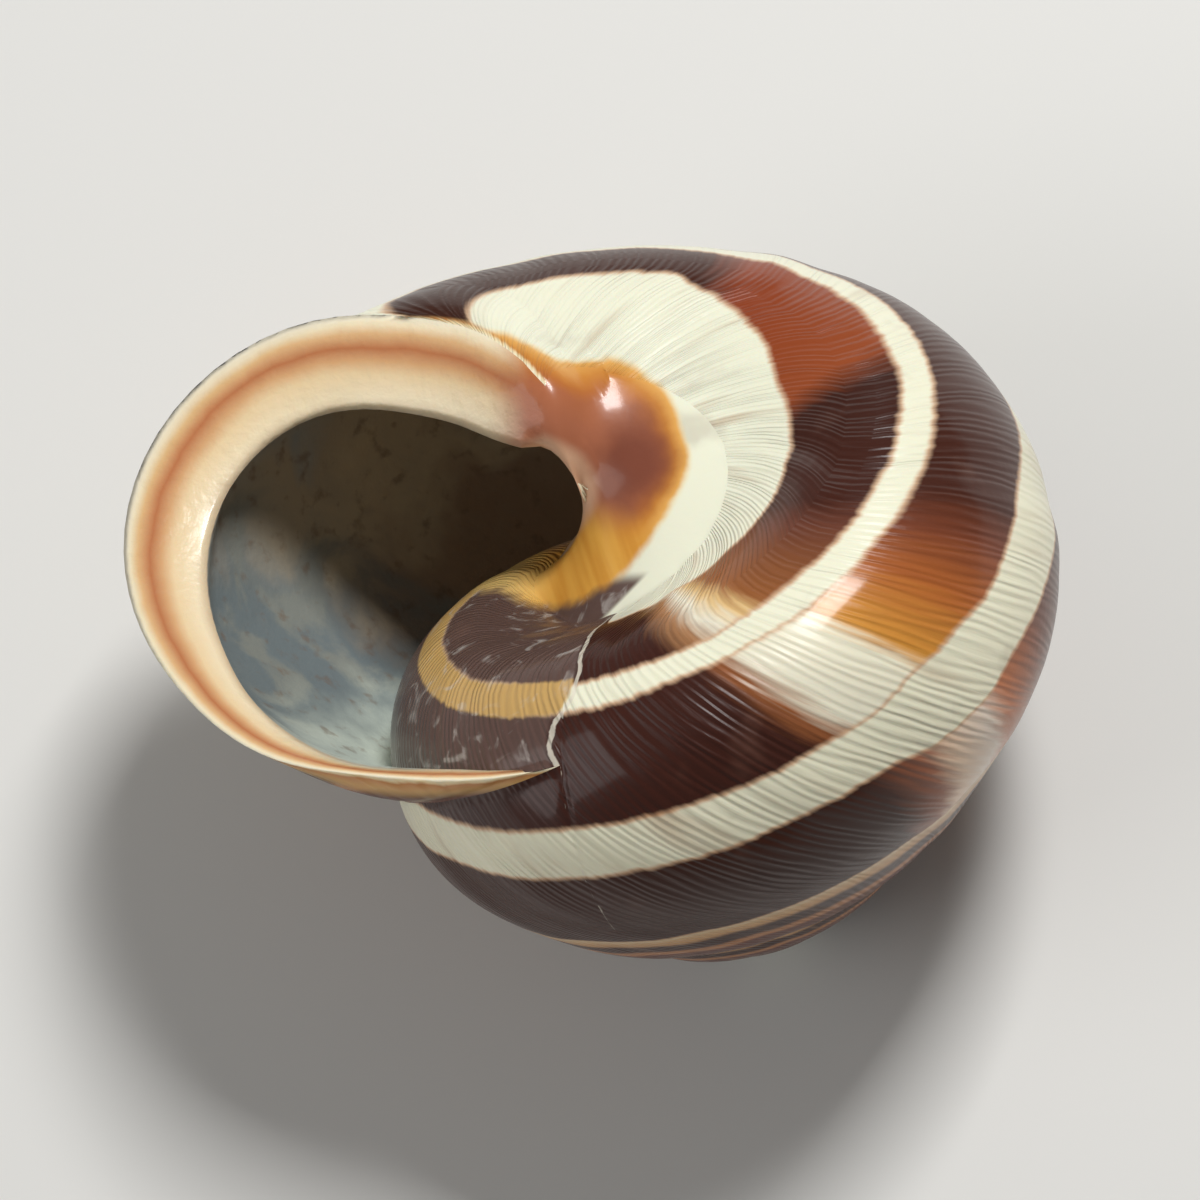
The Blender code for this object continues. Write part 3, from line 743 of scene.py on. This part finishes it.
class Socket:
    """A value in a material's node graph, with arithmetic."""

    def __init__(self, tree, socket):
        self.tree = tree
        self.socket = socket

    def math(self, operation, *others):
        node = self.tree.nodes.new("ShaderNodeMath")
        node.operation = operation
        for slot, value in zip(node.inputs, (self, *others)):
            fill(slot, value)
        return Socket(self.tree, node.outputs[0])

    def __add__(self, other):
        return self.math("ADD", other)

    def __sub__(self, other):
        return self.math("SUBTRACT", other)

    def __mul__(self, other):
        return self.math("MULTIPLY", other)

    def __truediv__(self, other):
        return self.math("DIVIDE", other)

    def __rsub__(self, other):
        return (self * -1) + other

    def most(self, other):
        return self.math("MAXIMUM", other)

    def wave(self):
        return self.math("SINE")

    def length(self):
        """The length of a vector."""
        node = self.tree.nodes.new("ShaderNodeVectorMath")
        node.operation = "LENGTH"
        self.tree.links.new(self.socket, node.inputs[0])
        return Socket(self.tree, node.outputs["Value"])

    def rise(self, start, end):
        """0 below start and 1 past end, with a smooth step between."""
        node = self.tree.nodes.new("ShaderNodeMapRange")
        node.interpolation_type = "SMOOTHSTEP"
        for slot, value in zip(node.inputs, (self, start, end)):
            fill(slot, value)
        return Socket(self.tree, node.outputs[0])

    def between(self, low, high, soft):
        """1 from low to high, with edges this soft."""
        return self.rise(low - soft / 2, low + soft / 2) * (1 - self.rise(high - soft / 2, high + soft / 2))

    def ramp(self, *stops):
        """A colour from stops, each the value where it lies and its colour."""
        low, high = stops[0][0], stops[-1][0]
        node = self.tree.nodes.new("ShaderNodeValToRGB")
        fill(node.inputs[0], (self - low) / (high - low))
        elements = node.color_ramp.elements
        while len(elements) < len(stops):
            elements.new(1)
        for element, (value, _) in zip(elements, stops):
            element.position = (value - low) / (high - low)
        for element, (_, colour) in zip(elements, stops):
            element.color = linear(colour)
        return Socket(self.tree, node.outputs[0])


def fill(slot, value):
    if isinstance(value, Socket):
        value.tree.links.new(value.socket, slot)
    else:
        slot.default_value = value


def linear(colour):
    """A colour given as 0 to 255 on a screen, as the shader takes it."""
    parts = [part / 255 for part in colour]
    return (*[part / 12.92 if part < 0.04 else ((part + 0.055) / 1.055) ** 2.4 for part in parts], 1)


class Paint:
    """A material in the making."""

    def __init__(self, name):
        self.material = bpy.data.materials.new(name)
        self.material.use_nodes = True
        self.tree = self.material.node_tree
        self.shader = self.tree.nodes["Principled BSDF"]

    def attribute(self, name):
        node = self.tree.nodes.new("ShaderNodeAttribute")
        node.attribute_name = name
        parts = self.tree.nodes.new("ShaderNodeSeparateXYZ")
        self.tree.links.new(node.outputs["Vector"], parts.inputs[0])
        return [Socket(self.tree, output) for output in parts.outputs]

    def vector(self, x, y, z=0.0):
        node = self.tree.nodes.new("ShaderNodeCombineXYZ")
        for slot, value in zip(node.inputs, (x, y, z)):
            fill(slot, value)
        return Socket(self.tree, node.outputs[0])

    def noise(self, where, scale=1.0, detail=2.0, distortion=0.0):
        """Smooth noise from 0 to 1, mostly within 0.3 and 0.7."""
        node = self.tree.nodes.new("ShaderNodeTexNoise")
        fill(node.inputs["Vector"], where)
        fill(node.inputs["Scale"], scale)
        fill(node.inputs["Detail"], detail)
        fill(node.inputs["Distortion"], distortion)
        return Socket(self.tree, node.outputs["Fac"])

    def position(self):
        """The place on the object, in millimetres."""
        node = self.tree.nodes.new("ShaderNodeTexCoord")
        scale = self.tree.nodes.new("ShaderNodeVectorMath")
        scale.operation = "SCALE"
        self.tree.links.new(node.outputs["Object"], scale.inputs[0])
        scale.inputs["Scale"].default_value = 1000
        return Socket(self.tree, scale.outputs[0])

    def mix(self, under, over, part):
        node = self.tree.nodes.new("ShaderNodeMix")
        node.data_type = "RGBA"
        fill(node.inputs[0], part)
        fill(node.inputs[6], under if isinstance(under, Socket) else linear(under))
        fill(node.inputs[7], over if isinstance(over, Socket) else linear(over))
        return Socket(self.tree, node.outputs[2])

    def bump(self, height, distance):
        """Small relief: height 1 stands this far out, in millimetres."""
        node = self.tree.nodes.new("ShaderNodeBump")
        node.inputs["Distance"].default_value = distance / 1000
        fill(node.inputs["Height"], height)
        self.tree.links.new(node.outputs[0], self.shader.inputs["Normal"])

    def finish(self, colour, roughness, coat=0.0, scatter=0.0):
        fill(self.shader.inputs["Base Color"], colour)
        fill(self.shader.inputs["Roughness"], roughness)
        fill(self.shader.inputs["Coat Weight"], coat)
        self.shader.inputs["Specular IOR Level"].default_value = SPECULAR
        self.shader.inputs["Coat Roughness"].default_value = COAT_ROUGHNESS
        if scatter:
            self.shader.inputs["Subsurface Weight"].default_value = scatter
            self.shader.inputs["Subsurface Radius"].default_value = SCATTER_RADIUS
            self.shader.inputs["Subsurface Scale"].default_value = SCATTER_SCALE
        return self.material


def callus(paint, under, reach, side, up):
    """The callus over the axis: an ochre border, a brown middle and a pale brink at the hollow."""
    grain = paint.noise(paint.position(), 0.9, 3.0) - 0.5
    reach = reach + grain * 0.12
    colour = reach.ramp(
        (0.3, (176, 108, 78)), (0.6, (176, 106, 70)), (0.72, (186, 112, 56)), (0.84, (204, 134, 58)),
        (0.95, (226, 168, 88)), (1.02, (236, 206, 146)),
    )
    middle = paint.vector(side - 0.125, up * 0.8).length()
    colour = paint.mix((128, 72, 54), colour, (middle + grain * 0.1).rise(0.05, 0.22))
    # Below the middle it turns yellow, with rays
    rays = paint.noise(paint.vector(side * 14 + up * 5, up * 1.5), 1.0, 2.0)
    low = paint.mix((232, 172, 76), (214, 148, 58), rays.rise(0.35, 0.65))
    low = paint.mix(low, (238, 200, 122), (side * -1).rise(0.15, 0.4))
    colour = paint.mix(colour, low, (up * -1 - side * 0.35).rise(0.12, 0.3))
    brink = paint.vector(side + BRINK[0], up + BRINK[1]).length()
    colour = paint.mix((222, 178, 146), colour, (brink + grain * 0.02).rise(BRINK[2], BRINK[2] + 0.07))
    return paint.mix(under, colour, 1 - reach.rise(0.95, 1.06))


def whorls():
    paint = Paint("whorls")
    turn, angle, across = paint.attribute("place")
    streak, rib, glaze = paint.attribute("lines")
    lows = paint.attribute("band_lows")
    highs = paint.attribute("band_highs")
    reach, side, up = paint.attribute("callus")
    place = paint.position()

    # Irregularities: fine lines along the ribs, and soft blotches
    fine = paint.noise(paint.vector(rib * 0.55, angle * 0.03), 1.0, 3.0)
    coarse = paint.noise(paint.vector(rib * 0.13, angle * 0.02, 7.0), 1.0, 2.0)
    blotch = paint.noise(place, 0.45, 3.0)
    ragged = angle + (fine - 0.5) * 2 + (blotch - 0.5) * 3

    # The ground colour, from the spire to the base
    ground = ragged.ramp(
        (-90, (92, 42, 24)), (-64, (100, 44, 24)), (-61, (190, 130, 84)), (-58, (184, 124, 80)),
        (-55, (62, 28, 18)), (-47, (64, 30, 18)), (-43, (206, 156, 104)), (-37, (216, 176, 128)),
        (-31, (234, 226, 196)), (60, (238, 236, 210)), (110, (238, 238, 214)), (150, (238, 238, 216)),
    )
    ground = paint.mix(ground, (170, 130, 95), (coarse - 0.5).rise(0.05, 0.3) * 0.5)
    ground = paint.mix(ground, (170, 138, 104), fine.rise(0.55, 0.75) * 0.16)

    # The three dark bands, whose colours change from one rest in growth to the next
    across_lines = streak + (fine - 0.5) * 8
    outer = across_lines.ramp(
        (-400, (62, 28, 15)), (-262, (62, 28, 15)), (-254, (150, 84, 50)), (-249, (232, 200, 170)),
        (-241, (232, 214, 196)), (-236, (190, 110, 60)), (-222, (110, 56, 34)), (-205, (66, 30, 18)),
        (-40, (56, 26, 14)),
    )
    middle = across_lines.ramp(
        (-400, (62, 29, 20)), (-259, (62, 29, 20)), (-255, (150, 90, 52)), (-251, (236, 230, 206)),
        (-238, (238, 232, 206)), (-235, (216, 150, 62)), (-222, (172, 96, 44)), (-211, (120, 62, 38)),
        (-202, (68, 31, 19)), (-40, (60, 28, 17)),
    )
    inner = across_lines.ramp(
        (-400, (60, 29, 21)), (-262, (62, 30, 22)), (-254, (168, 120, 80)), (-248, (238, 232, 210)),
        (-243, (226, 190, 130)), (-238, (150, 92, 50)), (-214, (104, 58, 42)), (-205, (66, 31, 21)),
        (-168, (60, 28, 19)), (-158, (148, 72, 36)), (-118, (138, 60, 28)), (-108, (66, 31, 20)),
        (-40, (60, 32, 22)),
    )
    colour = ground
    for low, high, dark in zip(lows, highs, (outer, middle, inner)):
        fringe = ragged.between(low - 1, high + 1, 1.5)
        colour = paint.mix(colour, (196, 120, 56), fringe * 0.6)
        colour = paint.mix(colour, dark, ragged.between(low, high, 2.0))
    colour = paint.mix(colour, (120, 84, 70), blotch.rise(0.6, 0.8) * 0.25)

    # The glaze over the whorl before, inside the mouth, and the callus over both
    glazed = glaze.rise(0.0, 1.5)
    wisps = paint.noise(place, 0.8, 5.0, 1.5)
    colour = paint.mix(colour, (224, 180, 96), glazed * ragged.between(63, 73, 1.5))
    on_pad = (across * -1).rise(1.5, 1.9)
    over_pad = (side * -1 + up + 0.63).rise(0.0, 0.03) * (up * -1).rise(0.42, 0.48) * on_pad
    colour = paint.mix(colour, (72, 44, 38), over_pad)
    glazed = glazed.most(over_pad)
    colour = paint.mix(colour, (132, 112, 104), glazed * 0.35)
    colour = paint.mix(colour, (206, 200, 192), glazed * wisps.rise(0.55, 0.72) * 0.45)
    rim_of_glaze = (glaze + (wisps - 0.5) * 2.2).between(-0.9, 0.3, 0.35)
    colour = paint.mix(colour, (226, 218, 200), rim_of_glaze * 0.7)
    colour = callus(paint, colour, reach, side, up)

    # The lip's back
    back = (across + (fine - 0.5) * 0.3).ramp(
        (0.0, (222, 184, 120)), (0.6, (218, 170, 100)), (0.85, (196, 128, 60)), (0.92, (236, 210, 160)),
        (1.0, (244, 232, 200)),
    )
    below = turn.rise(-175, -140) * across.rise(0.1, 0.75)
    colour = paint.mix(colour, back, below.most(across.rise(0.8, 0.95)))

    ribs = (rib * 3.3 + (coarse - 0.5) * 20).wave()
    relief = (ribs * 0.5 + fine * 1.2) * paint.noise(paint.vector(rib * 0.05, angle * 0.05, 3.0), 1.0, 1.0)
    paint.bump(relief + paint.noise(place, 3.0, 3.0) * 0.15, 0.05)
    return paint.finish(colour, 0.32, 0.3, 0.1)


def lip_paint():
    paint = Paint("lip")
    _, _, across = paint.attribute("place")
    reach, side, up = paint.attribute("callus")
    place = paint.position()
    soft = paint.noise(place, 0.5, 3.0)
    uneven = across + (soft - 0.5) * 0.12
    colour = uneven.ramp(
        (0.0, (226, 190, 120)), (0.55, (222, 180, 110)), (0.78, (204, 140, 70)), (0.86, (236, 214, 170)),
        (1.0, (246, 236, 208)), (1.1, (240, 222, 186)), (1.2, (222, 180, 130)), (1.36, (186, 118, 76)),
        (1.5, (214, 166, 118)), (1.64, (234, 208, 164)), (1.86, (240, 222, 186)), (2.0, (214, 192, 160)),
    )
    colour = paint.mix(colour, callus(paint, colour, reach, side, up), side.rise(-0.45, -0.25))
    paint.bump(paint.noise(place, 2.5, 3.0), 0.05)
    return paint.finish(colour, 0.3, 0.35, 0.15)


def hollow_paint():
    paint = Paint("hollow")
    _, _, across = paint.attribute("place")
    place = paint.position()
    _, side, up = paint.attribute("callus")
    cloud = paint.noise(place, 0.4, 6.0, 0.4) - 0.5
    speck = paint.noise(place, 1.6, 3.0)
    # From brown at the top and right to blue-grey at the lower left, with a paler slanting band
    slant = side * 0.77 - up * 0.64 + cloud * 0.9
    colour = slant.ramp(
        (-1.75, (170, 186, 190)), (-1.35, (150, 166, 176)), (-0.95, (186, 170, 144)),
        (-0.62, (206, 186, 152)), (-0.35, (172, 144, 116)), (0.2, (160, 128, 98)), (0.8, (150, 118, 88)),
    )
    lower = (up * -1 - side * 0.45 + cloud * 0.9).rise(0.55, 1.15)
    colour = paint.mix(colour, (118, 128, 130), lower)
    colour = paint.mix(colour, (150, 150, 138), lower * cloud.rise(0.0, 0.14) * 0.6)
    colour = paint.mix(colour, (212, 222, 208), (up * -1 + side * 0.35 + cloud * 0.5).rise(0.4, 0.85))
    colour = paint.mix(colour, (120, 92, 68), speck.rise(0.55, 0.75) * 0.5)
    colour = paint.mix((214, 192, 160), colour, across.rise(2.0, 2.25))
    paint.bump(paint.noise(place, 2.0, 3.0), 0.04)
    return paint.finish(colour, 0.3, 0.3)


def build_shell():
    shell, crease = shell_surface()
    local = np.concatenate(shell.points)
    vectors = markings(local, np.concatenate(shell.places))
    faces = np.array(shell.faces)
    mesh = bpy.data.meshes.new("shell")
    mesh.from_pydata(local * SECTION_RADIUS @ resting().T + APEX, [], faces.tolist())
    for name, parts in vectors.items():
        values = np.stack(np.broadcast_arrays(*parts), axis=-1)[faces.ravel()]
        layer = mesh.attributes.new(name, "FLOAT_VECTOR", "CORNER")
        layer.data.foreach_set("vector", values.astype(np.float32).ravel())
    for made in (whorls(), lip_paint(), hollow_paint()):
        mesh.materials.append(made)
    mesh.polygons.foreach_set("material_index", shell.slots)
    shape = bmesh.new()
    shape.from_mesh(mesh)
    bmesh.ops.remove_doubles(shape, verts=shape.verts, dist=MERGE)
    crease = crease * SECTION_RADIUS @ resting().T + APEX
    near = [vert for vert in shape.verts if np.linalg.norm(crease - vert.co, axis=1).min() < CREASE_REACH]
    ways = {"use_axis_x": True, "use_axis_y": True, "use_axis_z": True}
    for _ in range(CREASE_PASSES):
        bmesh.ops.smooth_vert(shape, verts=near, factor=0.5, **ways)
    bmesh.ops.recalc_face_normals(shape, faces=shape.faces)
    shape.to_mesh(mesh)
    shape.free()
    mesh.shade_smooth()
    piece = bpy.data.objects.new("snail_shell", mesh)
    bpy.context.scene.collection.objects.link(piece)
    return piece


def light(name, place, size, power):
    """A square soft light that faces the shell."""
    lamp = bpy.data.lights.new(name, "AREA")
    lamp.size = size
    lamp.energy = power
    holder = bpy.data.objects.new(name, lamp)
    holder.location = place
    holder.rotation_euler = (Vector(LIGHT_AIM) - Vector(place)).to_track_quat("-Z", "Y").to_euler()
    bpy.context.scene.collection.objects.link(holder)


def stage():
    bpy.ops.mesh.primitive_plane_add(size=FLOOR_SIZE)
    floor = bpy.context.object
    floor.name = "floor"
    floor.data.materials.append(Paint("floor").finish(linear(FLOOR_COLOUR), FLOOR_ROUGHNESS))
    world = bpy.context.scene.world or bpy.data.worlds.new("world")
    bpy.context.scene.world = world
    world.use_nodes = True
    background = world.node_tree.nodes["Background"]
    background.inputs["Color"].default_value = (1, 1, 1, 1)
    background.inputs["Strength"].default_value = WORLD_STRENGTH
    for row in LIGHTS:
        light(*row)


def camera():
    """Looks at the shell as the photograph does, from the stated place in the shell's own frame."""
    turn = resting()
    right, up, back = (turn @ np.array(way) for way in (VIEW_RIGHT, VIEW_UP, VIEW_BACK))
    eye = np.array(APEX) + back * VIEW_DISTANCE * SECTION_RADIUS
    aim = -back + right * VIEW_AIM[0] + up * VIEW_AIM[1]
    aim /= np.linalg.norm(aim)
    right = np.cross(aim, up)
    right /= np.linalg.norm(right)
    up = np.cross(right, aim)
    data = bpy.data.cameras.new("camera")
    data.lens = VIEW_LENS
    data.sensor_width = VIEW_SENSOR
    data.clip_start, data.clip_end = VIEW_CLIPS
    holder = bpy.data.objects.new("camera", data)
    rotation = Matrix(np.array([right, up, -aim]).T.tolist()).to_4x4()
    holder.matrix_world = Matrix.Translation(eye.tolist()) @ rotation
    bpy.context.scene.collection.objects.link(holder)
    bpy.context.scene.camera = holder


def main():
    for old in list(bpy.data.objects):
        bpy.data.objects.remove(old, do_unlink=True)
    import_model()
    bpy.context.scene.view_settings.view_transform = "Standard"
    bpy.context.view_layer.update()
    piece = build_shell()
    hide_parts("shell")
    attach(piece, "root")
    stage()
    camera()


main()
